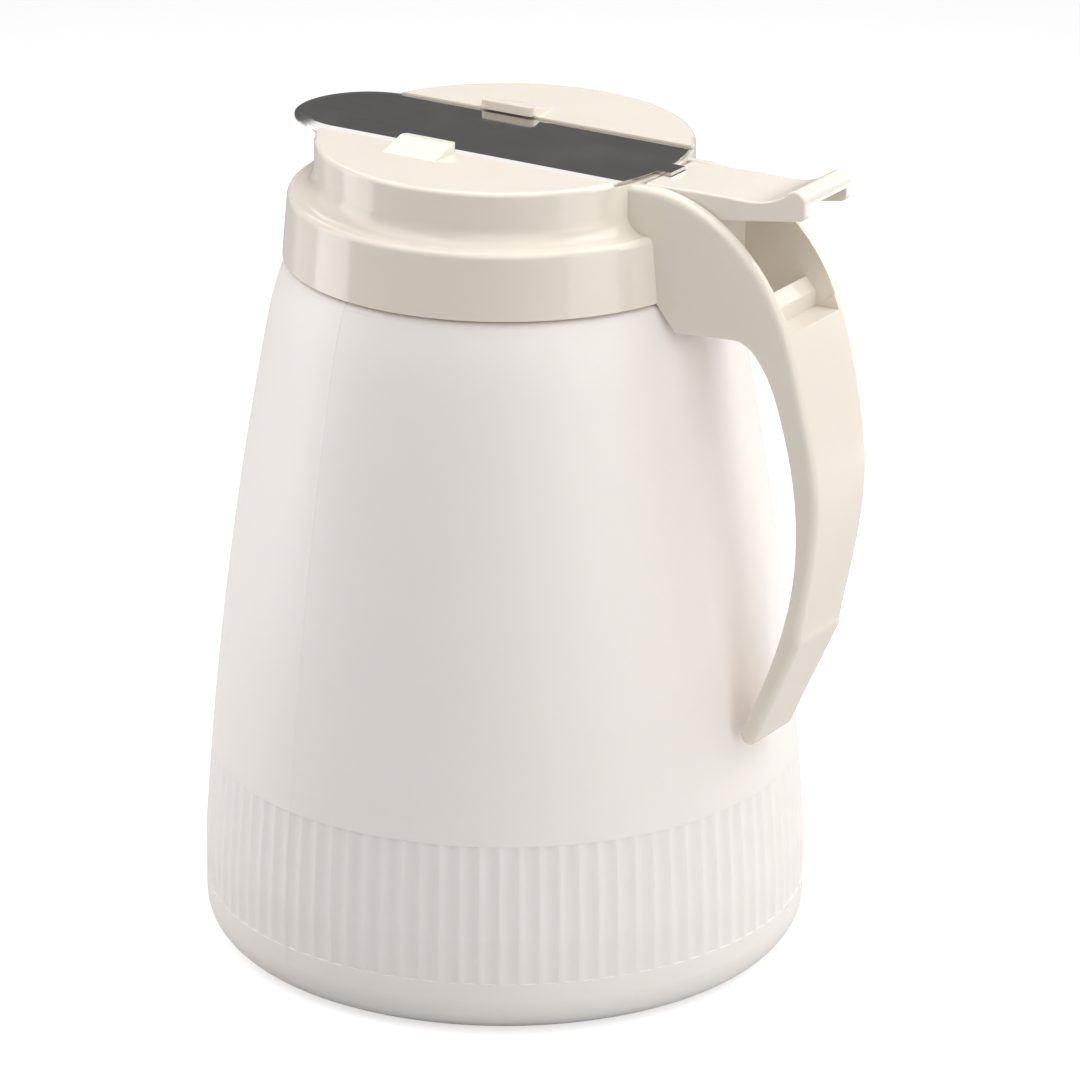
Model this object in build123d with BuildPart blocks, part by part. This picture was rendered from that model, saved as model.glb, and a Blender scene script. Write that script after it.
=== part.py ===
"""Syrup dispenser: fluted jar, screw cap moulded in one with its handle, and a sprung steel slide.

Millimetres. +Z is up, the jar stands on z = 0 with its axis on Z, the handle is at +X and the
spout at -X. A thumb lever in the top of the handle draws the steel blade back from the spout.
"""
from build123d import *
import math
import os

# ---- jar, blow moulded ----
JAR_RADIUS = 65.0          # widest, over the flutes
JAR_WALL = 1.8
FOOT_CORNER = 8.5          # rounding between the side and the foot
FOOT_RING = 5.0            # width of the ring that the jar stands on
PUSH_UP = 2.0              # how far the middle of the bottom is domed up
BAND_TOP = 22.0            # the side is upright up to here
BODY_TOP_HEIGHT = 138.5    # where the long taper turns into the shoulder
BODY_BULGE = 1.9           # how far the barrel side stands outside a straight taper
SHOULDER_SPREAD = 3.4      # the shoulder's foot is this much wider than its top
SHOULDER_RISE = 11.9
SHOULDER_IN = 0.2          # its top is this far inside the cap's skirt
SHOULDER_BULGE = 0.25
SHOULDER_ROUND = 1.4
NECK_RADIUS = 41.8
NECK_RISE = 12.1

# ---- flutes round the foot of the jar ----
FLUTE_COUNT = 96
FLUTE_LAND = 0.4           # between two of them
FLUTE_DEPTH = 0.3
FLUTE_FOOT = 12.5
FLUTE_TOP = 43.0

# ---- cap ----
SKIRT_GAP = 0.6            # from the jar's shoulder to the skirt's lower edge
SKIRT_DRAFT = 1.2          # the skirt is this much narrower at its top
SKIRT_WALL = 3.2
THREAD_ROOM = 1.9          # room for the threads between the neck and the skirt
SHOULDER_PLATE = 2.3       # thickness of the cap's stepped top
SHOULDER_FILLET = 1.4
STEP_FILLET = 4.0          # hollow rounding from the step up to the raised top
TIER_RADIUS = 40.0         # raised round top
TIER_RISE = 11.1           # from the step to the top
TIER_WALL = 2.4
TIER_PLATE = 2.6           # thickness of its flat top
TIER_EDGE = 1.0

# ---- gasket ----
GASKET_THICK = 1.6
GASKET_CLEAR = 0.4         # from the skirt's bore

# ---- steel slide blade ----
BLADE_THICK = 0.8
BLADE_HALF = 15.44
BLADE_OVER = 10.2          # its nose reaches this far over the cap's raised top
BLADE_SHORT = 0.7          # its round rear edge is this far inside the raised top's side
BLADE_FLUSH = 0.05         # lies this far under the cap's top
BLADE_FLOAT = 0.05         # running gap over the groove's floor
BLADE_SIDE = 0.25          # running gap at each edge
BLADE_RIM = 2.4            # width of the bevel round the nose
BLADE_RIM_DROP = 0.35
TAB_HALF = 2.8             # tongue that hooks into the lever
TAB_OUT = 2.4              # out of the raised top's side
TAB_DROP = 1.9
TAB_CLEAR = 0.25

# ---- guide clips over the blade ----
CLIP_FRONT = -15.6
CLIP_REAR = -2.6
CLIP_OVERHANG = 1.1
CLIP_WIDTH = 8.6
CLIP_HEIGHT = 2.0
CLIP_FLAT = 1.6            # its top is level for this width, then slopes down
CLIP_CORNER = 1.1
CLIP_ROOT = 0.6            # it is sunk this far into the raised top
CLIP_GAP = 0.15            # over the blade

# ---- spout ----
SPOUT_LIP = 1.6            # the lip's outline is this far inside the blade's nose
SPOUT_WALL = 1.8
SPOUT_FOOT_OUT = 0.9       # its lower end stands this far out of the raised top's side
SPOUT_FOOT_HALF = 8.5
SPOUT_DROP = 9.0           # how far the spout runs down the raised top's side
SPOUT_REAR = -24.0         # rear end of the pour opening
SPOUT_FLOOR = 1.6

# ---- handle ----
HANDLE_DROP = 94.2         # from the skirt's lower edge down to its tip
HANDLE_ROOT_HALF = 12.6    # half its width at its root; its flanks close in straight to its back
HANDLE_HALF = 12.0         # half its width at its back
HANDLE_FULL_DROP = 12.4    # it narrows from here down
HANDLE_TIP_HALF = 8.2
HANDLE_TAPER = 1.25        # power of that narrowing, which is fastest at its start
HANDLE_WALL = 2.4
HANDLE_ROUND = 1.5         # rounding along the back's two long edges
TIP_REACH = 3.0            # lowest point of its tip, out of the line beside the jar
TIP_ROUND = 1.0            # and under the ends of its back and front
HANDLE_ROOT = 6.0          # how far its root runs into the raised top
FLANK_LEVEL = 1.5          # its flanks' top is level this far out of the raised top
BACK_CREST = [(9.6, 0.9), (23.2, 8.0)]     # points of its back, out of the raised top and under it
# points of its back and of its front: out of a line beside the jar, and under the skirt's edge
BACK_CURVE = [(25.1, -5.8), (30.1, 16.4), (28.8, 41.9), (20.4, 67.9), (5.2, HANDLE_DROP)]
FRONT_CURVE = [(2.0, 93.5), (7.6, 84.2), (15.4, 70.0), (21.7, 53.6), (24.1, 41.6), (24.5, 20.5),
               (21.3, 8.6), (15.7, 4.7)]
PLATE_CURVE = [(22.9, 2.1), (23.0, -1.3), (20.8, -3.9)]   # the back wall's sunk end, from its foot
PLATE_STEP = 1.0           # the ledge at its foot falls by this much to it
PLATE_EDGE = 1.5           # its upper edge is cut back and down by this much
PLATE_KNEE = (21.8, 4.2)   # where its inner side turns into the back's
CREASE_TOP = (11.2, 0.6)   # the flanks flare over a crease from here, out of the raised top and under it
CREASE_FOOT = (24.9, 1.1)  # to here, beside the jar
FLARE_REACH = 7.0          # width of the flare
FLARE_OUT = 0.9
GUSSET_IN = 1.9            # its slope starts this far inside the skirt's side
GUSSET_OUT = 2.6           # its lower corner is this far out of the skirt's side
GUSSET_DROP = 5.6          # and this far under the skirt's edge
GUSSET_ROUND = 1.3
RIB_OUT = 6.1              # rear face of the cross rib between the flanks, out of the skirt
RIB_THICK = 1.8
RIB_DROP = 4.6             # its foot, under the skirt's edge
RIB_CREST = 2.4            # its middle stands this far over the cap's step
RIB_SIDE = 0.4             # from there to the lever's sides

# ---- thumb lever ----
TRAVEL = 18.0              # how far the blade draws back
LEVER_HALF = 9.4
LEVER_WALL = 2.0
LEVER_TOP = 1.8
LEVER_GAP = 0.5            # ahead of it, to the cap's raised top
LEVER_LENGTH = 37.6
LEVER_CURVE = [(20.0, 0.3), (29.4, 1.2)]   # points of its plate, back from its front edge and up
RIDGE_RADIUS = 2.5
RIDGE_TURN = 46.0          # degrees that the plate has turned up where the ridge's round top starts
RIDGE_RISE = 4.15          # over the lever's front edge
RIDGE_BAR = 3.1            # thickness of the thumb ridge
LEVER_EDGE = 0.5
LEVER_DEPTH = 6.0          # its sides' height under the ridge
LEVER_SLOPE = 0.163        # its sides deepen forwards by this much a millimetre
LEVER_HEEL = 1.3           # rounding of their lower rear corner
LUG_LIFT = 0.85            # over the lever's lower edge
LUG_LENGTH = 2.6
LUG_HEIGHT = 1.2
LUG_REACH = 0.9            # out of the lever's side
LUG_CLEAR = 0.2
FOOT_LENGTH = 4.0
FOOT_CLEAR = 0.35          # over the cap's step

# ---- return spring ----
WIRE = 0.5
WIRE_SIDES = 8
COIL_RADIUS = 1.35         # to the middle of the wire
SPRING_TURNS = 13          # and a half turn more
SPRING_DROP = 4.3          # its axis, under the blade
HOOK_BEND = 1.0
HOOK_RUN = 2.8             # straight wire between the bend and the loop
PEG_RADIUS = 0.85
FIXED_PEG_OUT = 2.6        # out of the cap's raised top
PEG_SPACING = 21.4
PEG_OVER = 0.7             # a peg reaches this far past the wire

CUT_PAST = 20.0            # what is cut away runs this far past the piece that it cuts

# ---- sizes that follow ----
SKIRT_BORE = NECK_RADIUS + THREAD_ROOM
SKIRT_RADIUS = SKIRT_BORE + SKIRT_WALL
SHOULDER_RADIUS = SKIRT_RADIUS - SHOULDER_IN
BODY_TOP_RADIUS = SHOULDER_RADIUS + SHOULDER_SPREAD
SHOULDER_HEIGHT = BODY_TOP_HEIGHT + SHOULDER_RISE
NECK_TOP = SHOULDER_HEIGHT + NECK_RISE
GASKET_TOP = NECK_TOP + GASKET_THICK
STEP_HEIGHT = GASKET_TOP + SHOULDER_PLATE
TOP_HEIGHT = STEP_HEIGHT + TIER_RISE
SKIRT_BOTTOM = SHOULDER_HEIGHT + SHOULDER_ROUND + SKIRT_GAP
BLADE_TOP = TOP_HEIGHT - BLADE_FLUSH
BLADE_BOTTOM = BLADE_TOP - BLADE_THICK
GROOVE_FLOOR = BLADE_BOTTOM - BLADE_FLOAT
HANDLE_TOP = TOP_HEIGHT - TIER_EDGE
BLADE_TIP = TIER_RADIUS + BLADE_OVER
BLADE_REAR = TIER_RADIUS - BLADE_SHORT
TAB_END = TIER_RADIUS + TAB_OUT
LEVER_FRONT = TIER_RADIUS + LEVER_GAP
LEVER_REAR = LEVER_FRONT + LEVER_LENGTH
LEVER_PLATE = BLADE_BOTTOM - BLADE_FLOAT
LEVER_FOOT = STEP_HEIGHT + FOOT_CLEAR
FIXED_PEG_X = TIER_RADIUS + FIXED_PEG_OUT
LEVER_PEG_X = FIXED_PEG_X + PEG_SPACING
SPRING_AXIS = BLADE_BOTTOM - SPRING_DROP
HOOK_HEIGHT = SPRING_AXIS + HOOK_BEND


def bulged(start, end, bulge):
    """The middle point of an arc from start to end that stands bulge to its right."""
    run = math.hypot(end[0] - start[0], end[1] - start[1])
    across = ((end[1] - start[1]) / run, -(end[0] - start[0]) / run)
    return ((start[0] + end[0]) / 2 + across[0] * bulge, (start[1] + end[1]) / 2 + across[1] * bulge)


def jar_side(height):
    """The jar's radius at a height on its long taper."""
    share = (height - BAND_TOP) / (BODY_TOP_HEIGHT - BAND_TOP)
    return JAR_RADIUS - share * (JAR_RADIUS - BODY_TOP_RADIUS) + 4 * BODY_BULGE * share * (1 - share)


# ---- jar ----
body_start = (JAR_RADIUS, BAND_TOP)
body_end = (BODY_TOP_RADIUS, BODY_TOP_HEIGHT)
shoulder_end = (SHOULDER_RADIUS, SHOULDER_HEIGHT)
shoulder_turn = (SHOULDER_RADIUS - SHOULDER_ROUND, SHOULDER_HEIGHT + SHOULDER_ROUND)
foot_inner = JAR_RADIUS - FOOT_CORNER - FOOT_RING

with BuildPart() as jar:
    with BuildSketch(Plane.XZ):
        with BuildLine():
            Polyline((0, NECK_TOP), (0, PUSH_UP), (foot_inner - PUSH_UP, PUSH_UP), (foot_inner, 0),
                     (JAR_RADIUS - FOOT_CORNER, 0))
            RadiusArc((JAR_RADIUS - FOOT_CORNER, 0), (JAR_RADIUS, FOOT_CORNER), -FOOT_CORNER)
            Line((JAR_RADIUS, FOOT_CORNER), body_start)
            ThreePointArc(body_start, bulged(body_start, body_end, BODY_BULGE), body_end)
            ThreePointArc(body_end, bulged(body_end, shoulder_end, SHOULDER_BULGE), shoulder_end)
            RadiusArc(shoulder_end, shoulder_turn, -SHOULDER_ROUND)
            Polyline(shoulder_turn, (NECK_RADIUS, shoulder_turn[1]), (NECK_RADIUS, NECK_TOP),
                     (0, NECK_TOP))
        make_face()
    revolve(axis=Axis.Z)
    offset(amount=-JAR_WALL, openings=jar.faces().sort_by(Axis.Z)[-1])

# one flute's cutter stands upright beside the band and leans back with the taper above it
flute_half = math.pi * JAR_RADIUS / FLUTE_COUNT - FLUTE_LAND / 2
flute_rise = Vector(0, 0, BAND_TOP - FLUTE_FOOT)
flute_lean = Vector(jar_side(FLUTE_TOP) - JAR_RADIUS, 0, FLUTE_TOP - BAND_TOP)
with BuildPart() as flute_cutter:
    for foot_z, run in ((FLUTE_FOOT, flute_rise), (BAND_TOP, flute_lean)):
        with BuildSketch(Plane(origin=(JAR_RADIUS, 0, foot_z), x_dir=(0, -1, 0), z_dir=run)):
            with BuildLine():
                ThreePointArc((-flute_half, 0), (0, -FLUTE_DEPTH), (flute_half, 0))
                Polyline((flute_half, 0), (flute_half, FLUTE_DEPTH), (-flute_half, FLUTE_DEPTH),
                         (-flute_half, 0))
            make_face()
        extrude(amount=run.length)

with jar:
    with PolarLocations(0, FLUTE_COUNT):
        add(flute_cutter.part, mode=Mode.SUBTRACT)
jar.part.label = "jar"

# ---- neck gasket ----
with BuildPart() as neck_gasket:
    with BuildSketch(Plane.XY.offset(NECK_TOP)):
        Circle(SKIRT_BORE - SKIRT_DRAFT - GASKET_CLEAR)
        Circle(NECK_RADIUS - JAR_WALL, mode=Mode.SUBTRACT)
    extrude(amount=GASKET_THICK)
neck_gasket.part.label = "neck_gasket"

# ---- steel slide blade ----
nose_x = -(BLADE_TIP - BLADE_HALF)


def on_rear(y):
    """The point of the blade's round rear edge at this y."""
    return (math.sqrt(BLADE_REAR ** 2 - y ** 2), y)


with BuildPart() as slide_blade:
    with BuildSketch(Plane.XY.offset(BLADE_BOTTOM)):
        with BuildLine():
            half_edge = (BLADE_HALF + TAB_HALF) / 2
            Line((nose_x, -BLADE_HALF), on_rear(-BLADE_HALF))
            ThreePointArc(on_rear(-BLADE_HALF), on_rear(-half_edge), on_rear(-TAB_HALF))
            Polyline(on_rear(-TAB_HALF), (TAB_END, -TAB_HALF), (TAB_END, TAB_HALF), on_rear(TAB_HALF))
            ThreePointArc(on_rear(TAB_HALF), on_rear(half_edge), on_rear(BLADE_HALF))
            Line(on_rear(BLADE_HALF), (nose_x, BLADE_HALF))
            ThreePointArc((nose_x, BLADE_HALF), (-BLADE_TIP, 0), (nose_x, -BLADE_HALF))
        make_face()
    extrude(amount=BLADE_THICK)
    nose_edge = slide_blade.edges().group_by(Axis.Z)[-1].sort_by(Axis.X)[0]
    chamfer(nose_edge, length=BLADE_RIM_DROP, length2=BLADE_RIM,
            reference=slide_blade.faces().sort_by(Axis.X)[0])
    with BuildSketch(Plane.XY.offset(BLADE_BOTTOM - TAB_DROP)):
        with Locations((TAB_END - BLADE_THICK / 2, 0)):
            Rectangle(BLADE_THICK, 2 * TAB_HALF)
    extrude(amount=TAB_DROP + BLADE_THICK / 2)
slide_blade.part.label = "slide_blade"

# ---- handle: a channel of two flanks and a back, open to the jar and at its top ----
def beside_jar(reach, drop):
    """A point of the handle's side view, from its drop under the skirt's edge and from its reach out
    of a line that runs down the skirt and on, straight, to the jar's side beside the handle's tip."""
    lean = jar_side(SKIRT_BOTTOM - HANDLE_DROP) - SKIRT_RADIUS
    return (SKIRT_RADIUS + lean * max(drop, 0) / HANDLE_DROP + reach, SKIRT_BOTTOM - drop)


handle_top = (TIER_RADIUS + FLANK_LEVEL, HANDLE_TOP)
back_points = [handle_top] + [(TIER_RADIUS + out, HANDLE_TOP - down) for out, down in BACK_CREST]
back_points += [beside_jar(reach, drop) for reach, drop in BACK_CURVE]
tip_point = beside_jar(TIP_REACH, HANDLE_DROP + TIP_ROUND)
front_points = [beside_jar(reach, drop) for reach, drop in FRONT_CURVE]
gusset_corner = (SKIRT_RADIUS + GUSSET_OUT, SKIRT_BOTTOM - GUSSET_DROP)
gusset_top = (SKIRT_RADIUS - GUSSET_IN, SKIRT_BOTTOM)
# the back wall ends in a sloping plate, sunk between the flanks
plate_foot, plate_bend, plate_top = [beside_jar(reach, drop) for reach, drop in PLATE_CURVE]
plate_lip = (plate_top[0] - PLATE_EDGE, plate_top[1] - PLATE_EDGE)
plate_knee = beside_jar(*PLATE_KNEE)
full_to = SKIRT_BOTTOM - HANDLE_FULL_DROP
tip_height = SKIRT_BOTTOM - HANDLE_DROP


def side_width(height):
    """Half the handle's width at a height between its tip and where it has its full width."""
    share = (height - tip_height) / (full_to - tip_height)
    return HANDLE_TIP_HALF + (HANDLE_HALF - HANDLE_TIP_HALF) * share ** HANDLE_TAPER


def inset(points, amount):
    """The points moved square to their run, to its right, each by the amount."""
    moved = []
    for index, point in enumerate(points):
        before = points[max(index - 1, 0)]
        after = points[min(index + 1, len(points) - 1)]
        run = math.hypot(after[0] - before[0], after[1] - before[1])
        moved.append((point[0] + (after[1] - before[1]) / run * amount,
                      point[1] - (after[0] - before[0]) / run * amount))
    return moved


def handle_side(side, out):
    """One side of the handle seen from behind, as a sketch outline this far outside its width at its
    back and a little past its middle."""
    top = TOP_HEIGHT + CUT_PAST
    foot = tip_height - CUT_PAST
    heights = [full_to + (tip_height - full_to) * step / 4 for step in range(5)]
    upper = side * (HANDLE_HALF + out)
    lower = side * (HANDLE_TIP_HALF + out)
    Line((upper, top), (upper, full_to))
    Spline(*[(side * (side_width(height) + out), height) for height in heights],
           tangents=[(0, -1), (0, -1)])
    Polyline((lower, tip_height), (lower, foot), (-side * HANDLE_WALL, foot),
             (-side * HANDLE_WALL, top), (upper, top))


root_x = TIER_RADIUS - HANDLE_ROOT
rear_x = max(x for x, z in back_points) + HANDLE_WALL
flank_inner = HANDLE_HALF - HANDLE_WALL
with BuildPart() as handle_width:
    for side in (1, -1):
        flank_run = Vector(rear_x - root_x, side * (HANDLE_HALF - HANDLE_ROOT_HALF), 0)
        with BuildSketch(Plane.YZ.offset(root_x)):
            with BuildLine():
                handle_side(side, HANDLE_ROOT_HALF - HANDLE_HALF)
            make_face()
        extrude(amount=flank_run.length, dir=flank_run.normalized())

with BuildPart() as handle_bore:
    for side in (1, -1):
        with BuildSketch(Plane.YZ):
            with BuildLine():
                handle_side(side, -HANDLE_WALL)
            make_face()
        extrude(amount=rear_x)

with BuildPart() as handle:
    with BuildSketch(Plane.XZ.offset(-HANDLE_ROOT_HALF)):
        with BuildLine():
            Line((root_x, HANDLE_TOP), handle_top)
            Spline(*back_points, tangents=[(1, 0), (-0.45, -1)])
            ThreePointArc(back_points[-1], tip_point, front_points[0])
            Spline(*front_points, tangents=[(0.42, 1), (-1, -0.06)])
            FilletPolyline(front_points[-1], gusset_corner, gusset_top, radius=GUSSET_ROUND)
            Polyline(gusset_top, (gusset_top[0], SKIRT_BOTTOM + SKIRT_GAP),
                     (root_x, SKIRT_BOTTOM + SKIRT_GAP), (root_x, HANDLE_TOP))
        make_face()
    extrude(amount=2 * HANDLE_ROOT_HALF)
    add(handle_width.part, mode=Mode.INTERSECT)
    back = handle.faces().sort_by(lambda face: face.center().X)[-1]
    fillet([edge for edge in back.edges() if edge.geom_type != GeomType.LINE], radius=HANDLE_ROUND)

inner_points = [p for p in inset(back_points, HANDLE_WALL) if p[1] < plate_foot[1] - 2 * HANDLE_WALL]
crease_foot = beside_jar(*CREASE_FOOT)
crease_top = Vector(TIER_RADIUS + CREASE_TOP[0], 0, HANDLE_TOP - CREASE_TOP[1])
crease_run = Vector(crease_foot[0], 0, crease_foot[1]) - crease_top
with BuildPart() as handle_hollow:
    with BuildSketch(Plane.XZ.offset(-HANDLE_ROOT_HALF)):
        with BuildLine():
            above = TOP_HEIGHT + CUT_PAST
            behind = rear_x + CUT_PAST
            before = root_x - CUT_PAST
            floor = inner_points[-1][1] + HANDLE_WALL
            Polyline((before, above), (behind, above), (behind, plate_foot[1] + PLATE_STEP), plate_foot,
                     plate_bend, plate_top, plate_lip)
            Spline(plate_lip, plate_knee, *inner_points)
            Polyline(inner_points[-1], (before, floor), (before, above))
        make_face()
    extrude(amount=2 * HANDLE_ROOT_HALF)
    add(handle_bore.part, mode=Mode.INTERSECT)
    # the flanks' inner sides flare outwards over a crease
    with BuildSketch(Plane(origin=crease_top, x_dir=(0, 1, 0), z_dir=crease_run)):
        with BuildLine():
            Polyline((flank_inner, 0), (flank_inner + FLARE_OUT, FLARE_REACH),
                     (-flank_inner - FLARE_OUT, FLARE_REACH), (-flank_inner, 0), (flank_inner, 0))
        make_face()
    extrude(amount=crease_run.length)

# ---- cap ----
lip_half = BLADE_HALF - SPOUT_LIP
foot_x = -(TIER_RADIUS + SPOUT_FOOT_OUT - SPOUT_FOOT_HALF)


def spout_outline(centre, half):
    """A spout's outline at one height: a half circle forwards and straight sides back."""
    ThreePointArc((centre, half), (centre - half, 0), (centre, -half))
    Polyline((centre, -half), (SPOUT_REAR, -half), (SPOUT_REAR, half), (centre, half))


spout_foot_z = GROOVE_FLOOR - SPOUT_DROP
with BuildPart() as spout_outer:
    for height, centre, half in ((spout_foot_z, foot_x, SPOUT_FOOT_HALF),
                                 (GROOVE_FLOOR, nose_x, lip_half)):
        with BuildSketch(Plane.XY.offset(height)):
            with BuildLine():
                spout_outline(centre, half)
            make_face()
    loft()

with BuildPart() as spout_bore:
    for height, centre, half in ((spout_foot_z + SPOUT_FLOOR, foot_x, SPOUT_FOOT_HALF - SPOUT_WALL),
                                 (GROOVE_FLOOR, nose_x, lip_half - SPOUT_WALL)):
        with BuildSketch(Plane.XY.offset(height)):
            with BuildLine():
                spout_outline(centre, half)
            make_face()
    loft()

skirt_top_radius = SKIRT_RADIUS - SKIRT_DRAFT
clip_inner = BLADE_HALF - CLIP_OVERHANG
groove_half = BLADE_HALF + BLADE_SIDE
groove_reach = LUG_REACH + LUG_CLEAR
lug_low = LEVER_FOOT + LUG_LIFT
groove_rear = LEVER_FRONT + LUG_LENGTH + TRAVEL + LUG_CLEAR * 2
rib_foot = SKIRT_BOTTOM - RIB_DROP

with BuildPart() as cap:
    with BuildSketch(Plane.XZ):
        with BuildLine():
            Polyline((0, SKIRT_BOTTOM), (SKIRT_RADIUS, SKIRT_BOTTOM), (skirt_top_radius, STEP_HEIGHT),
                     (TIER_RADIUS, STEP_HEIGHT), (TIER_RADIUS, TOP_HEIGHT), (0, TOP_HEIGHT),
                     (0, SKIRT_BOTTOM))
        make_face()
    revolve(axis=Axis.Z)
    rings = cap.edges().filter_by(GeomType.CIRCLE)
    fillet(rings.filter_by_position(Axis.Z, STEP_HEIGHT - 0.01, STEP_HEIGHT + 0.01).sort_by(
        SortBy.RADIUS)[-1], radius=SHOULDER_FILLET)
    rings = cap.edges().filter_by(GeomType.CIRCLE)
    fillet(rings.filter_by_position(Axis.Z, STEP_HEIGHT - 0.01, STEP_HEIGHT + 0.01).sort_by(
        SortBy.RADIUS)[0], radius=STEP_FILLET)
    rings = cap.edges().filter_by(GeomType.CIRCLE)
    fillet(rings.filter_by_position(Axis.Z, TOP_HEIGHT - 0.01, TOP_HEIGHT + 0.01), radius=TIER_EDGE)
    add(spout_outer.part)
    # the step is level between the handle's flanks, under the lever's foot
    with BuildSketch(Plane.XY.offset(STEP_HEIGHT)):
        with Locations(((TIER_RADIUS + SKIRT_RADIUS) / 2, 0)):
            Rectangle(SKIRT_RADIUS - TIER_RADIUS, 2 * flank_inner)
    extrude(amount=CUT_PAST, mode=Mode.SUBTRACT)

with BuildPart() as handle_shell:
    add(handle.part)
    add(handle_hollow.part, mode=Mode.SUBTRACT)

with cap:
    add(handle_shell.part)
    # cross rib and the spring's fixed peg, between the flanks
    with BuildSketch(Plane.XY.offset(rib_foot)):
        with Locations((SKIRT_RADIUS + RIB_OUT - RIB_THICK / 2, 0)):
            Rectangle(RIB_THICK, 2 * flank_inner + HANDLE_WALL)
    extrude(amount=STEP_HEIGHT - rib_foot)
    with BuildSketch(Plane.XY.offset(STEP_HEIGHT)):
        with Locations((SKIRT_RADIUS + RIB_OUT - RIB_THICK / 2, 0)):
            Rectangle(RIB_THICK, 2 * (LEVER_HALF - LEVER_WALL - RIB_SIDE))
    extrude(amount=RIB_CREST)
    with BuildSketch(Plane.XY.offset(STEP_HEIGHT - SHOULDER_PLATE / 2)):
        with Locations((FIXED_PEG_X, 0)):
            Circle(PEG_RADIUS)
    extrude(amount=HOOK_HEIGHT + WIRE / 2 + PEG_OVER - STEP_HEIGHT + SHOULDER_PLATE / 2)
    # inside of the skirt and of the raised top
    with BuildSketch(Plane.XZ):
        with BuildLine():
            Polyline((0, SKIRT_BOTTOM - SKIRT_GAP), (SKIRT_BORE, SKIRT_BOTTOM - SKIRT_GAP),
                     (SKIRT_BORE, SKIRT_BOTTOM),
                     (SKIRT_BORE - SKIRT_DRAFT, GASKET_TOP), (TIER_RADIUS - TIER_WALL, GASKET_TOP),
                     (TIER_RADIUS - TIER_WALL, TOP_HEIGHT - TIER_PLATE), (0, TOP_HEIGHT - TIER_PLATE),
                     (0, SKIRT_BOTTOM - SKIRT_GAP))
        make_face()
    revolve(axis=Axis.Z, mode=Mode.SUBTRACT)
    # the blade's groove across the top, and the pouring trough under its nose
    with BuildSketch(Plane.XY.offset(GROOVE_FLOOR)):
        Rectangle(2 * (TIER_RADIUS + LEVER_GAP), 2 * groove_half)
    extrude(amount=CUT_PAST, mode=Mode.SUBTRACT)
    add(spout_bore.part, mode=Mode.SUBTRACT)
    # grooves for the lever's lugs
    for side in (1, -1):
        with BuildSketch(Plane.XY.offset(lug_low - LUG_CLEAR)):
            with Locations(((LEVER_FRONT + groove_rear) / 2,
                            side * (flank_inner + (groove_reach - LUG_CLEAR) / 2))):
                Rectangle(groove_rear - LEVER_FRONT, groove_reach + LUG_CLEAR)
        extrude(amount=LUG_HEIGHT + 2 * LUG_CLEAR, mode=Mode.SUBTRACT)

# one guide clip, and its mirror image
with BuildPart() as clip:
    with BuildSketch(Plane.YZ.offset(CLIP_FRONT)):
        with BuildLine():
            Polyline((clip_inner, BLADE_TOP + CLIP_GAP), (clip_inner, TOP_HEIGHT + CLIP_HEIGHT),
                     (clip_inner + CLIP_FLAT, TOP_HEIGHT + CLIP_HEIGHT),
                     (clip_inner + CLIP_WIDTH, TOP_HEIGHT),
                     (clip_inner + CLIP_WIDTH - CLIP_ROOT, TOP_HEIGHT - CLIP_ROOT),
                     (groove_half, TOP_HEIGHT - CLIP_ROOT),
                     (groove_half, BLADE_TOP + CLIP_GAP), (clip_inner, BLADE_TOP + CLIP_GAP))
        make_face()
    extrude(amount=CLIP_REAR - CLIP_FRONT)
    upright = clip.edges().filter_by(Axis.Z).group_by(Axis.Y)[0]
    fillet(upright, radius=CLIP_CORNER)
with cap:
    add(clip.part)
    add(mirror(clip.part, about=Plane.XZ, mode=Mode.PRIVATE))
cap.part.label = "cap"

# ---- thumb lever ----
ridge_x = LEVER_REAR - RIDGE_RADIUS
ridge_z = LEVER_PLATE + RIDGE_RISE - RIDGE_RADIUS
side_foot_z = LEVER_PLATE + RIDGE_RISE - LEVER_DEPTH
foot_rear = LEVER_FRONT + FOOT_LENGTH
side_front_z = side_foot_z - LEVER_SLOPE * (LEVER_REAR - foot_rear)
heel_top = (LEVER_REAR, side_foot_z + LEVER_HEEL)
heel_end = (LEVER_REAR - LEVER_HEEL, side_foot_z - LEVER_SLOPE * LEVER_HEEL)
plate_line = [(LEVER_FRONT, LEVER_PLATE)] + [(LEVER_FRONT + back, LEVER_PLATE + up)
                                             for back, up in LEVER_CURVE]
ridge_run = (math.cos(math.radians(RIDGE_TURN)), math.sin(math.radians(RIDGE_TURN)))
ridge_in = (ridge_x - RIDGE_RADIUS * ridge_run[1], ridge_z + RIDGE_RADIUS * ridge_run[0])
ridge_rear = (ridge_x + RIDGE_RADIUS * math.cos(math.pi / 4), ridge_z + RIDGE_RADIUS * math.sin(math.pi / 4))
bar_z = LEVER_PLATE + RIDGE_RISE - RIDGE_BAR
inner = [(x, z - LEVER_TOP) for x, z in plate_line]
hollow_foot = LEVER_FOOT - LEVER_WALL
hollow_front = LEVER_FRONT - LEVER_WALL
hollow_rear = LEVER_REAR + LEVER_WALL

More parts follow.
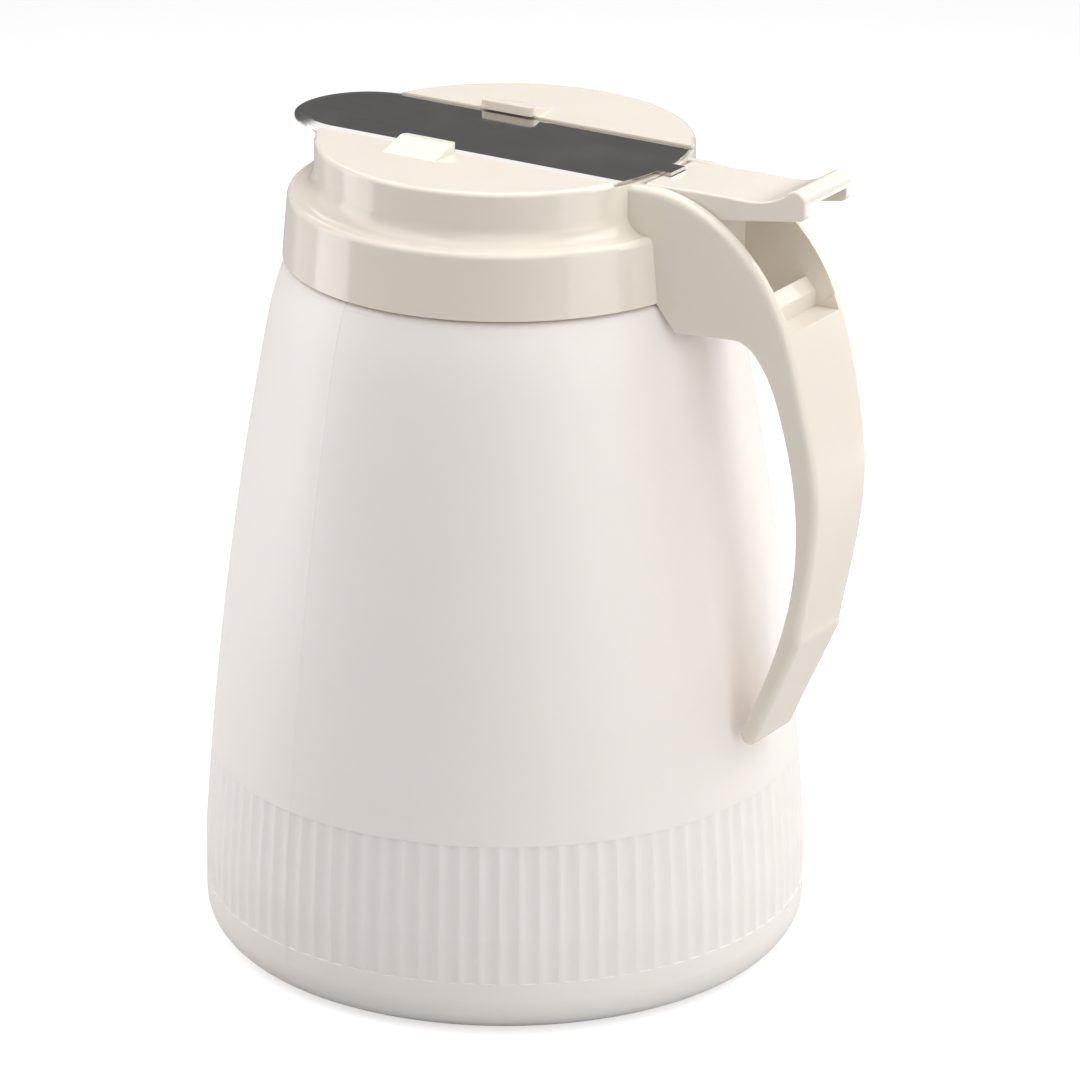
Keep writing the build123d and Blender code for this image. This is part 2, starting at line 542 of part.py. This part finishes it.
with BuildPart() as thumb_lever:
    with BuildSketch(Plane.XZ.offset(-LEVER_HALF)):
        with BuildLine():
            Spline(*plate_line, ridge_in, tangents=[(1, 0), ridge_run])
            ThreePointArc(ridge_in, ridge_rear, (LEVER_REAR, ridge_z))
            Line((LEVER_REAR, ridge_z), heel_top)
            TangentArc(heel_top, heel_end, tangent=(0, -1))
            Polyline(heel_end, (foot_rear, side_front_z), (foot_rear, LEVER_FOOT),
                     (LEVER_FRONT, LEVER_FOOT), (LEVER_FRONT, LEVER_PLATE))
        make_face()
    extrude(amount=2 * LEVER_HALF)
    sides = thumb_lever.faces().sort_by(Axis.Y)
    rim = [e for f in (sides[0], sides[-1]) for e in f.edges() if e.center().Z > BLADE_BOTTOM - LEVER_EDGE]
    fillet(rim, radius=LEVER_EDGE)
    with BuildSketch(Plane.XZ.offset(LEVER_WALL - LEVER_HALF)):
        with BuildLine():
            Polyline((hollow_front, hollow_foot), (hollow_front, inner[0][1]), inner[0])
            Spline(*inner, tangents=[(1, 0), (3, 1)])
            Polyline(inner[-1], (ridge_x - LEVER_WALL, bar_z), (hollow_rear, bar_z),
                     (hollow_rear, hollow_foot), (hollow_front, hollow_foot))
        make_face()
    extrude(amount=2 * (LEVER_HALF - LEVER_WALL), mode=Mode.SUBTRACT)
    # lugs that run in the handle's grooves
    with BuildSketch(Plane.XY.offset(lug_low)):
        with Locations((LEVER_FRONT + LUG_CLEAR + LUG_LENGTH / 2, LEVER_HALF),
                       (LEVER_FRONT + LUG_CLEAR + LUG_LENGTH / 2, -LEVER_HALF)):
            Rectangle(LUG_LENGTH, 2 * LUG_REACH)
    extrude(amount=LUG_HEIGHT)
    # the blade's slot and the spring's moving peg
    with BuildSketch(Plane.XY.offset(LEVER_PLATE - CUT_PAST / 2)):
        with Locations((TAB_END - BLADE_THICK / 2, 0)):
            Rectangle(BLADE_THICK + 2 * TAB_CLEAR, 2 * (TAB_HALF + TAB_CLEAR))
    extrude(amount=CUT_PAST, mode=Mode.SUBTRACT)
    with BuildSketch(Plane.XY.offset(HOOK_HEIGHT - WIRE / 2 - PEG_OVER)):
        with Locations((LEVER_PEG_X, 0)):
            Circle(PEG_RADIUS)
    extrude(amount=LEVER_PLATE - HOOK_HEIGHT + WIRE / 2 + PEG_OVER)
thumb_lever.part.label = "thumb_lever"

# ---- return spring: one wire, a close coil with a loop at each end ----
coil_length = LEVER_PEG_X - FIXED_PEG_X - 2 * (HOOK_BEND + HOOK_RUN)
coil_pitch = coil_length / (SPRING_TURNS + 0.5)
coil_start = FIXED_PEG_X + HOOK_BEND + HOOK_RUN


def coil_point(turn):
    """A point of the coil's middle line, turn counted from its start."""
    angle = 2 * math.pi * turn - math.pi
    return Vector(coil_start + coil_pitch * turn, COIL_RADIUS * math.cos(angle),
                  SPRING_AXIS + COIL_RADIUS * math.sin(angle))


def coil_direction(turn):
    """The wire's direction there."""
    angle = 2 * math.pi * turn - math.pi
    return Vector(coil_pitch / (2 * math.pi), -COIL_RADIUS * math.sin(angle),
                  COIL_RADIUS * math.cos(angle)).normalized()


def biarc(start, start_run, end, end_run):
    """Two arcs that leave start and reach end in the given directions."""
    chord = end - start
    both = start_run + end_run
    square = 2 * (1 - start_run.dot(end_run))
    reach = (-chord.dot(both) + math.sqrt(chord.dot(both) ** 2 + square * chord.dot(chord))) / square
    first_corner = start + start_run * reach
    last_corner = end - end_run * reach
    middle = (first_corner + last_corner) * 0.5
    TangentArc(start, middle, tangent=start_run)
    TangentArc(middle, end, tangent=last_corner - first_corner)


with BuildPart() as return_spring:
    with BuildLine() as wire_line:
        first = coil_point(0)
        last = coil_point(SPRING_TURNS + 0.5)
        ThreePointArc((FIXED_PEG_X, COIL_RADIUS, HOOK_HEIGHT), (FIXED_PEG_X - COIL_RADIUS, 0, HOOK_HEIGHT),
                      (FIXED_PEG_X, -COIL_RADIUS, HOOK_HEIGHT))
        hook_in = Vector(first.X - HOOK_BEND, -COIL_RADIUS, HOOK_HEIGHT)
        Line((FIXED_PEG_X, -COIL_RADIUS, HOOK_HEIGHT), hook_in)
        biarc(hook_in, Vector(1, 0, 0), first, coil_direction(0))
        for half in range(2 * SPRING_TURNS + 1):
            turn = half / 2
            biarc(coil_point(turn), coil_direction(turn), coil_point(turn + 0.5),
                  coil_direction(turn + 0.5))
        hook_out = Vector(last.X + HOOK_BEND, COIL_RADIUS, HOOK_HEIGHT)
        biarc(last, coil_direction(SPRING_TURNS + 0.5), hook_out, Vector(1, 0, 0))
        Line(hook_out, (LEVER_PEG_X, COIL_RADIUS, HOOK_HEIGHT))
        ThreePointArc((LEVER_PEG_X, COIL_RADIUS, HOOK_HEIGHT), (LEVER_PEG_X + COIL_RADIUS, 0, HOOK_HEIGHT),
                      (LEVER_PEG_X, -COIL_RADIUS, HOOK_HEIGHT))
    with BuildSketch(Plane(origin=(FIXED_PEG_X, COIL_RADIUS, HOOK_HEIGHT), z_dir=(-1, 0, 0))):
        RegularPolygon(radius=WIRE / 2, side_count=WIRE_SIDES)
    sweep(path=wire_line.wire())
return_spring.part.label = "return_spring"

steps = 60
coil_samples = [coil_point(step / steps) for step in range(4 * steps)]
turn_gap = min((one - other).length for index, one in enumerate(coil_samples)
               for other in coil_samples[index + steps // 2:]) - WIRE
print("return_spring: least gap of the wire to itself", round(turn_gap, 3), "mm")

os.makedirs("parts", exist_ok=True)
for piece in (jar, neck_gasket, cap, slide_blade, thumb_lever, return_spring):
    export_step(piece.part, "parts/" + piece.part.label + ".step")
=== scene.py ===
"""Syrup dispenser: the finish of its plastics, steel and rubber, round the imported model.

Metres, +Z up, the jar stands on z = 0, the handle is at +X and the spout at -X.
"""
import math

import bmesh
import bpy
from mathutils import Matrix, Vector


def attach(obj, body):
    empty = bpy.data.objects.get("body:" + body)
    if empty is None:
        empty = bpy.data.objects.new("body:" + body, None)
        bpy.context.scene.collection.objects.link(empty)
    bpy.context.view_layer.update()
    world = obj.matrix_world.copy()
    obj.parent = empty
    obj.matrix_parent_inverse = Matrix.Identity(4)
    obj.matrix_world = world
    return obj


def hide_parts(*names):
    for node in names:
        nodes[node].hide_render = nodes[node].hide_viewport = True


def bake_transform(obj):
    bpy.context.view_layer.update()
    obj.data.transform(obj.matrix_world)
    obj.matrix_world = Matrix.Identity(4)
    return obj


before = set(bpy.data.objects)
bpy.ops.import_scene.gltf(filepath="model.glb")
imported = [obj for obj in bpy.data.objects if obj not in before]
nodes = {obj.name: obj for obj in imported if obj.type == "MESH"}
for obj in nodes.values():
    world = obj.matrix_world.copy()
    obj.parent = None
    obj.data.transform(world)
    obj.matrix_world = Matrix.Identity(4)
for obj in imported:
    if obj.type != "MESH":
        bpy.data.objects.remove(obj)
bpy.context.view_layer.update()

MM = 0.001
scene = bpy.context.scene


# ---- materials ----
def linear(code):
    """A colour written as sRGB hex, as linear RGBA."""
    parts = [int(code[i:i + 2], 16) / 255 for i in (1, 3, 5)]
    return [c / 12.92 if c <= 0.04045 else ((c + 0.055) / 1.055) ** 2.4 for c in parts] + [1.0]


def add(tree, kind, inputs=None, **settings):
    """Adds a node: settings are its attributes, inputs its sockets' values or the sockets they link to."""
    node = tree.nodes.new(kind)
    for name, value in settings.items():
        setattr(node, name, value)
    for name, value in (inputs or {}).items():
        if isinstance(value, bpy.types.NodeSocket):
            tree.links.new(value, node.inputs[name])
        else:
            node.inputs[name].default_value = value
    return node


def new_material(name):
    """An empty material: its node tree and its output node."""
    made = bpy.data.materials.new(name)
    made.use_nodes = True
    made.node_tree.nodes.clear()
    return made, made.node_tree, made.node_tree.nodes.new("ShaderNodeOutputMaterial")


MILK_CLOUD = 45 * MM                  # across one of the milky wall's clouds
WALL_RIPPLE = 16 * MM                 # across one ripple of the blown wall
SKIN_GRAIN = 0.9 * MM                 # coarser than the real skin's, so that it shows
SPECK_SPACING = 17 * MM               # between two cells that may hold a speck
SPECK_CORE = 0.02                     # of that spacing: a speck's full radius
SPECK_RIM = 0.035                     # of that spacing: where a speck has faded out
SPECK_LOT = 0.55                      # cells that draw a higher lot than this hold a speck
SPECK_TINT = 0.35                     # how far a speck's colour comes through the milk
SEAM_TURN = math.radians(-102.7)      # round Z from the handle, of the blow mould's parting line
SEAM_CREST = 0.1 * MM                 # half the parting line's width on top
SEAM_FOOT = 0.45 * MM                 # half its width where it meets the wall


def moulded_polypropylene():
    """Blow-moulded natural polypropylene: milky and faintly warm, with a satin skin that blurs every
    highlight, light that soaks in and evens out the shading, the slow ripple of a blown wall, the
    mould's fine parting line down both sides, and a few grey specks under the skin."""
    made, tree, out = new_material("blow_moulded_polypropylene")
    place = add(tree, "ShaderNodeTexCoord").outputs["Object"]
    cloud = add(tree, "ShaderNodeTexNoise", {"Vector": place, "Scale": 1 / MILK_CLOUD, "Detail": 2.0})
    milk = add(tree, "ShaderNodeMix", {"Factor": cloud.outputs["Fac"], "A": linear("#F6EBE5"),
                                       "B": linear("#FAF0EA")}, data_type="RGBA")
    # a speck here and there: the middles of some of the cells
    cells = add(tree, "ShaderNodeTexVoronoi", {"Vector": place, "Scale": 1 / SPECK_SPACING})
    near = add(tree, "ShaderNodeMapRange", {"Value": cells.outputs["Distance"], "From Min": SPECK_CORE,
                                            "From Max": SPECK_RIM, "To Min": 1.0, "To Max": 0.0})
    lot = add(tree, "ShaderNodeSeparateColor", {"Color": cells.outputs["Color"]})
    chosen = add(tree, "ShaderNodeMath", {0: lot.outputs["Red"], 1: SPECK_LOT}, operation="GREATER_THAN")
    speck = add(tree, "ShaderNodeMath", {0: near.outputs["Result"], 1: chosen.outputs[0]},
                operation="MULTIPLY")
    faint = add(tree, "ShaderNodeMath", {0: speck.outputs[0], 1: SPECK_TINT}, operation="MULTIPLY")
    colour = add(tree, "ShaderNodeMix", {"Factor": faint.outputs[0], "A": milk.outputs[2],
                                         "B": linear("#8D8882")}, data_type="RGBA")
    # the parting line lies where a plane through the jar's axis cuts the wall
    plane = (-math.sin(SEAM_TURN), math.cos(SEAM_TURN), 0)
    across = add(tree, "ShaderNodeVectorMath", {0: place, 1: plane}, operation="DOT_PRODUCT")
    aside = add(tree, "ShaderNodeMath", {0: across.outputs["Value"]}, operation="ABSOLUTE")
    seam = add(tree, "ShaderNodeMapRange", {"Value": aside.outputs[0], "From Min": SEAM_CREST,
                                            "From Max": SEAM_FOOT, "To Min": 1.0, "To Max": 0.0},
               interpolation_type="SMOOTHSTEP")
    skin = add(tree, "ShaderNodeTexNoise", {"Vector": place, "Scale": 1 / SKIN_GRAIN, "Detail": 3.0})
    rough = add(tree, "ShaderNodeMapRange", {"Value": skin.outputs["Fac"], "To Min": 0.34, "To Max": 0.46})
    ripple = add(tree, "ShaderNodeTexNoise", {"Vector": place, "Scale": 1 / WALL_RIPPLE, "Detail": 1.0})
    slow = add(tree, "ShaderNodeBump", {"Height": ripple.outputs["Fac"], "Distance": 0.12 * MM,
                                        "Strength": 1.0})
    line = add(tree, "ShaderNodeBump", {"Height": seam.outputs["Result"], "Distance": 0.06 * MM,
                                        "Strength": 1.0, "Normal": slow.outputs["Normal"]})
    fine = add(tree, "ShaderNodeBump", {"Height": skin.outputs["Fac"], "Distance": 0.012 * MM,
                                        "Strength": 0.6, "Normal": line.outputs["Normal"]})
    shader = add(tree, "ShaderNodeBsdfPrincipled", {
        "Base Color": colour.outputs[2], "Roughness": rough.outputs["Result"], "IOR": 1.49,
        "Subsurface Weight": 0.5, "Subsurface Radius": (1.0, 0.9, 0.8), "Subsurface Scale": 4 * MM,
        "Normal": fine.outputs["Normal"]})
    tree.links.new(shader.outputs["BSDF"], out.inputs["Surface"])
    return made


IVORY_CLOUD = 30 * MM                 # across a patch where the colour drifts
GLOSS_HAZE = 5 * MM                   # across a patch where the gloss is a little duller
COOLED_WAVE = 11 * MM                 # across one wave of the cooled wall


def moulded_ivory(name, light, deep):
    """Injection-moulded ivory plastic from a polished tool: a hard gloss that shows the lamps' edges,
    with the faint waviness of a cooled wall, and a warm body colour that drifts between two tones."""
    made, tree, out = new_material(name)
    place = add(tree, "ShaderNodeTexCoord").outputs["Object"]
    cloud = add(tree, "ShaderNodeTexNoise", {"Vector": place, "Scale": 1 / IVORY_CLOUD, "Detail": 2.0})
    colour = add(tree, "ShaderNodeMix", {"Factor": cloud.outputs["Fac"], "A": linear(light),
                                         "B": linear(deep)}, data_type="RGBA")
    haze = add(tree, "ShaderNodeTexNoise", {"Vector": place, "Scale": 1 / GLOSS_HAZE, "Detail": 4.0})
    rough = add(tree, "ShaderNodeMapRange", {"Value": haze.outputs["Fac"], "To Min": 0.1, "To Max": 0.17})
    sink = add(tree, "ShaderNodeTexNoise", {"Vector": place, "Scale": 1 / COOLED_WAVE, "Detail": 0.0})
    wave = add(tree, "ShaderNodeBump", {"Height": sink.outputs["Fac"], "Distance": 0.05 * MM,
                                        "Strength": 1.0})
    shader = add(tree, "ShaderNodeBsdfPrincipled", {
        "Base Color": colour.outputs[2], "Roughness": rough.outputs["Result"], "IOR": 1.5,
        "Subsurface Weight": 0.25, "Subsurface Radius": (1.0, 0.8, 0.5), "Subsurface Scale": 1.5 * MM,
        "Normal": wave.outputs["Normal"]})
    tree.links.new(shader.outputs["BSDF"], out.inputs["Surface"])
    return made


SILICONE_GRAIN = 0.7 * MM


def silicone_rubber():
    """Moulded silicone: milky, matt and soft, with a fine grain and light that soaks in."""
    made, tree, out = new_material("moulded_silicone_rubber")
    place = add(tree, "ShaderNodeTexCoord").outputs["Object"]
    grain = add(tree, "ShaderNodeTexNoise", {"Vector": place, "Scale": 1 / SILICONE_GRAIN, "Detail": 3.0})
    colour = add(tree, "ShaderNodeMix", {"Factor": grain.outputs["Fac"], "A": linear("#DAD8D2"),
                                         "B": linear("#E6E4DE")}, data_type="RGBA")
    rough = add(tree, "ShaderNodeMapRange", {"Value": grain.outputs["Fac"], "To Min": 0.5, "To Max": 0.65})
    bump = add(tree, "ShaderNodeBump", {"Height": grain.outputs["Fac"], "Distance": 0.02 * MM,
                                        "Strength": 0.7})
    shader = add(tree, "ShaderNodeBsdfPrincipled", {
        "Base Color": colour.outputs[2], "Roughness": rough.outputs["Result"], "IOR": 1.41,
        "Subsurface Weight": 0.4, "Subsurface Scale": 2 * MM, "Normal": bump.outputs["Normal"]})
    tree.links.new(shader.outputs["BSDF"], out.inputs["Surface"])
    return made


ROLLING_LINE = 0.4 * MM               # between rolling lines, coarser than real ones so that they show
ROLLING_STRETCH = 0.02                # a line's width as a share of its length along the slide
WIPE_MARK = 14 * MM                   # across one wipe mark


def rolled_stainless():
    """Bright-rolled stainless sheet, polished along its length: almost a mirror, drawn out a little
    into streaks along the slide by the rolling lines, with a few faint wipe marks in the gloss."""
    made, tree, out = new_material("bright_rolled_stainless")
    place = add(tree, "ShaderNodeTexCoord").outputs["Object"]
    drawn = add(tree, "ShaderNodeMapping", {"Vector": place, "Scale": (ROLLING_STRETCH, 1.0, 1.0)})
    lines = add(tree, "ShaderNodeTexNoise", {"Vector": drawn.outputs["Vector"], "Scale": 1 / ROLLING_LINE,
                                             "Detail": 3.0})
    wipes = add(tree, "ShaderNodeTexNoise", {"Vector": place, "Scale": 1 / WIPE_MARK, "Detail": 4.0})
    tone = add(tree, "ShaderNodeMix", {"Factor": lines.outputs["Fac"], "A": linear("#B9B6B2"),
                                       "B": linear("#C8C5C1")}, data_type="RGBA")
    rough = add(tree, "ShaderNodeMapRange", {"Value": wipes.outputs["Fac"], "From Min": 0.35,
                                             "From Max": 0.7, "To Min": 0.06, "To Max": 0.13})
    bump = add(tree, "ShaderNodeBump", {"Height": lines.outputs["Fac"], "Distance": 0.004 * MM,
                                        "Strength": 0.5})
    shader = add(tree, "ShaderNodeBsdfPrincipled", {
        "Base Color": tone.outputs[2], "Metallic": 1.0, "Roughness": rough.outputs["Result"],
        "Normal": bump.outputs["Normal"]})
    tree.links.new(shader.outputs["BSDF"], out.inputs["Surface"])
    return made


WIRE_GRAIN = 0.15 * MM


def drawn_wire():
    """Drawn stainless spring wire: bright, with a fine grain from the die that blurs its glints."""
    made, tree, out = new_material("drawn_stainless_wire")
    place = add(tree, "ShaderNodeTexCoord").outputs["Object"]
    grain = add(tree, "ShaderNodeTexNoise", {"Vector": place, "Scale": 1 / WIRE_GRAIN, "Detail": 2.0})
    tone = add(tree, "ShaderNodeMix", {"Factor": grain.outputs["Fac"], "A": linear("#AFAEAC"),
                                       "B": linear("#C9C8C6")}, data_type="RGBA")
    rough = add(tree, "ShaderNodeMapRange", {"Value": grain.outputs["Fac"], "To Min": 0.2, "To Max": 0.34})
    shader = add(tree, "ShaderNodeBsdfPrincipled", {
        "Base Color": tone.outputs[2], "Metallic": 1.0, "Roughness": rough.outputs["Result"]})
    tree.links.new(shader.outputs["BSDF"], out.inputs["Surface"])
    return made


jar_plastic = moulded_polypropylene()
cap_plastic = moulded_ivory("moulded_ivory_cap", "#E4DCD1", "#E0D8CB")
lever_plastic = moulded_ivory("moulded_ivory_lever", "#E4DCD3", "#E1D9CD")
gasket_rubber = silicone_rubber()
blade_steel = rolled_stainless()
spring_steel = drawn_wire()


def dress(piece, finish):
    """Gives a piece one finish all over."""
    piece.data.materials.clear()
    piece.data.materials.append(finish)


def piece_from(bm, name, finish):
    """The smooth, finished piece that a bmesh holds."""
    mesh = bpy.data.meshes.new(name)
    bm.to_mesh(mesh)
    bm.free()
    mesh.shade_smooth()
    piece = bpy.data.objects.new(name, mesh)
    scene.collection.objects.link(piece)
    dress(piece, finish)
    return piece


for node, finish in (("jar", jar_plastic), ("cap", cap_plastic), ("neck_gasket", gasket_rubber),
                     ("slide_blade", blade_steel), ("thumb_lever", lever_plastic),
                     ("return_spring", spring_steel)):
    dress(nodes[node], finish)


# ---- the screw threads of the jar's neck and of the cap's skirt ----
THREAD_PITCH = 4 * MM                 # the cap rises by this in a turn
THREAD_HALF = 0.95 * MM               # half a thread's width where it meets the wall
THREAD_POINTS = 9                     # across its rounded section
THREAD_STEPS = 120                    # in a turn
THREAD_RUN_OUT = 0.12                 # of a turn, over which its ends sink into the wall
THREAD_LEFT = 0.04                    # of its height, which is left where it ends


def screw_thread(name, body, finish, wall, ridge, foot, turns):
    """A rounded thread on a right-hand helix round Z, from the radius of its wall to that of its ridge.
    foot is the height of its middle where it starts, at +X."""
    bm = bmesh.new()
    shares = [2 * point / (THREAD_POINTS - 1) - 1 for point in range(THREAD_POINTS)]
    section = [bm.verts.new((wall + (ridge - wall) * math.cos(share * math.pi / 2) ** 2, 0,
                             foot + share * THREAD_HALF)) for share in shares]
    end = bm.faces.new(section)
    bmesh.ops.spin(bm, geom=[end, *end.edges, *end.verts], cent=(0, 0, 0), axis=(0, 0, 1),
                   dvec=(0, 0, THREAD_PITCH / THREAD_STEPS), angle=2 * math.pi * turns,
                   steps=round(THREAD_STEPS * turns))
    for vert in bm.verts:
        part_turn = math.atan2(vert.co.y, vert.co.x) / (2 * math.pi)
        whole_turns = round((vert.co.z - foot) / THREAD_PITCH - part_turn)
        along = whole_turns + part_turn
        raised = max(0.0, min(1.0, along / THREAD_RUN_OUT, (turns - along) / THREAD_RUN_OUT))
        radius = math.hypot(vert.co.x, vert.co.y)
        kept = (wall + (radius - wall) * (THREAD_LEFT + (1 - THREAD_LEFT) * raised)) / radius
        vert.co.x *= kept
        vert.co.y *= kept
    bmesh.ops.recalc_face_normals(bm, faces=bm.faces)
    piece = piece_from(bm, name, finish)
    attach(piece, body)


screw_thread("neck_thread", "jar", jar_plastic, wall=41.6 * MM, ridge=42.7 * MM, foot=154.0 * MM, turns=1.25)
screw_thread("cap_thread", "cap", cap_plastic, wall=43.6 * MM, ridge=42.1 * MM, foot=156.0 * MM, turns=1.1)

# ---- the return spring, a coil that the lever draws out between its two hooks ----
MERGE_DISTANCE = 0.001 * MM

coil = bmesh.new()
coil.from_mesh(nodes["return_spring"].data)
bmesh.ops.remove_doubles(coil, verts=coil.verts, dist=MERGE_DISTANCE)
return_coil = piece_from(coil, "return_spring_coil", spring_steel)
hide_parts("return_spring")
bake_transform(return_coil)

# ---- the camera, where the photograph was taken from ----
CAMERA_TURN = 32.8                    # degrees round from -Y towards the handle
CAMERA_RISE = 20.64                   # degrees above level
CAMERA_REACH = 1.3696                 # from the point on the jar's axis that it looks at
CAMERA_CLIP = (0.05, 20)
LOOK_HEIGHT = 0.0873
SENSOR_WIDTH = 36                     # millimetres, as is the lens
LENS = 213.15
AXIS_SHIFT = 0.0324                   # the jar's axis is this share of the frame left of its middle


def outward(turn, rise):
    """The way out from the jar's axis: round from -Y towards the handle and up, in degrees."""
    turn = math.radians(turn)
    rise = math.radians(rise)
    return Vector((math.sin(turn) * math.cos(rise), -math.cos(turn) * math.cos(rise), math.sin(rise)))


def stand(thing, out, reach, height):
    """Stands a camera or a lamp off a point on the jar's axis and turns it to look at that point."""
    scene.collection.objects.link(thing)
    thing.location = Vector((0, 0, height)) + out * reach
    thing.rotation_mode = "QUATERNION"
    thing.rotation_quaternion = (-out).to_track_quat("-Z", "Y")


scene.view_settings.view_transform = "Standard"
camera = bpy.data.objects.new("camera", bpy.data.cameras.new("camera"))
camera.data.sensor_width = SENSOR_WIDTH
camera.data.lens = LENS
camera.data.shift_x = AXIS_SHIFT
camera.data.clip_start, camera.data.clip_end = CAMERA_CLIP
stand(camera, outward(CAMERA_TURN, CAMERA_RISE), CAMERA_REACH, LOOK_HEIGHT)
scene.camera = camera

# ---- the lamps: strips close by on both sides, and panels that hang all round overhead ----
STRIP_SIZE = (0.19, 0.36)             # width and height
STRIP_REACH = 0.42
STRIP_HEIGHT = 0.185
PANEL_SIZE = (0.5, 0.5)
PANEL_REACH = 0.7
PANEL_RISE = 50                       # degrees above level
PANEL_HEIGHT = 0.1                    # of the point that the panels face


def softbox(name, size, turn, rise, reach, height, power):
    """A soft lamp, round from the camera to its right by turn and up by rise, in degrees."""
    lamp = bpy.data.objects.new(name, bpy.data.lights.new(name, "AREA"))
    lamp.data.shape = "RECTANGLE"
    lamp.data.size, lamp.data.size_y = size
    lamp.data.energy = power
    lamp.visible_camera = False
    stand(lamp, outward(CAMERA_TURN + turn, rise), reach, height)


# each one's turn in degrees and its power in watts
for name, turn, power in (("left_strip", -96, 0.58), ("left_rear_strip", -122, 0.12),
                          ("front_strip", 20, 0.1), ("front_right_strip", 44, 0.43),
                          ("rear_right_strip", 120, 0.65)):
    softbox(name, STRIP_SIZE, turn, 0, STRIP_REACH, STRIP_HEIGHT, power)
softbox("top_panel", PANEL_SIZE, 0, 90, PANEL_REACH, PANEL_HEIGHT, 1.45)
for name, turn, power in (("front_panel", 0, 1.3), ("left_panel", -90, 1.25), ("right_panel", 90, 2.4),
                          ("rear_panel", 180, 1.17)):
    softbox(name, PANEL_SIZE, turn, PANEL_RISE, PANEL_REACH, PANEL_HEIGHT, power)

# ---- the room: white for the camera, dim in what it throws on the object and shows in its gloss ----
WHITE = (1, 1, 1, 1)
ROOM_LIGHT = 0.17
world = bpy.data.worlds.new("studio")
scene.world = world
world.use_nodes = True
sky = world.node_tree
sky.nodes.clear()
ray = add(sky, "ShaderNodeLightPath")
room = add(sky, "ShaderNodeBackground", {"Color": WHITE, "Strength": ROOM_LIGHT})
seen = add(sky, "ShaderNodeBackground", {"Color": WHITE, "Strength": 1.0})
shown = add(sky, "ShaderNodeMixShader", {0: ray.outputs["Is Camera Ray"], 1: room.outputs[0],
                                         2: seen.outputs[0]})
add(sky, "ShaderNodeOutputWorld", {"Surface": shown.outputs[0]})

# ---- the floor ----
FLOOR_RADIUS = 3.0
FLOOR_SIDES = 96
PAPER = (0.6, 0.6, 0.6, 1)
PAPER_GLOW = 0.65                     # for the camera alone


def paper_sweep():
    """White paper, matt: it glows a little for the camera, so that it shows white round a soft shadow."""
    made, tree, out = new_material("white_paper_sweep")
    ray = add(tree, "ShaderNodeLightPath")
    matt = add(tree, "ShaderNodeBsdfDiffuse", {"Color": PAPER})
    glow = add(tree, "ShaderNodeEmission", {"Color": WHITE, "Strength": PAPER_GLOW})
    both = add(tree, "ShaderNodeAddShader", {0: matt.outputs[0], 1: glow.outputs[0]})
    mixed = add(tree, "ShaderNodeMixShader", {0: ray.outputs["Is Camera Ray"], 1: matt.outputs[0],
                                              2: both.outputs[0]})
    tree.links.new(mixed.outputs[0], out.inputs["Surface"])
    return made


disc = bmesh.new()
bmesh.ops.create_circle(disc, cap_ends=True, segments=FLOOR_SIDES, radius=FLOOR_RADIUS)
floor = piece_from(disc, "floor", paper_sweep())
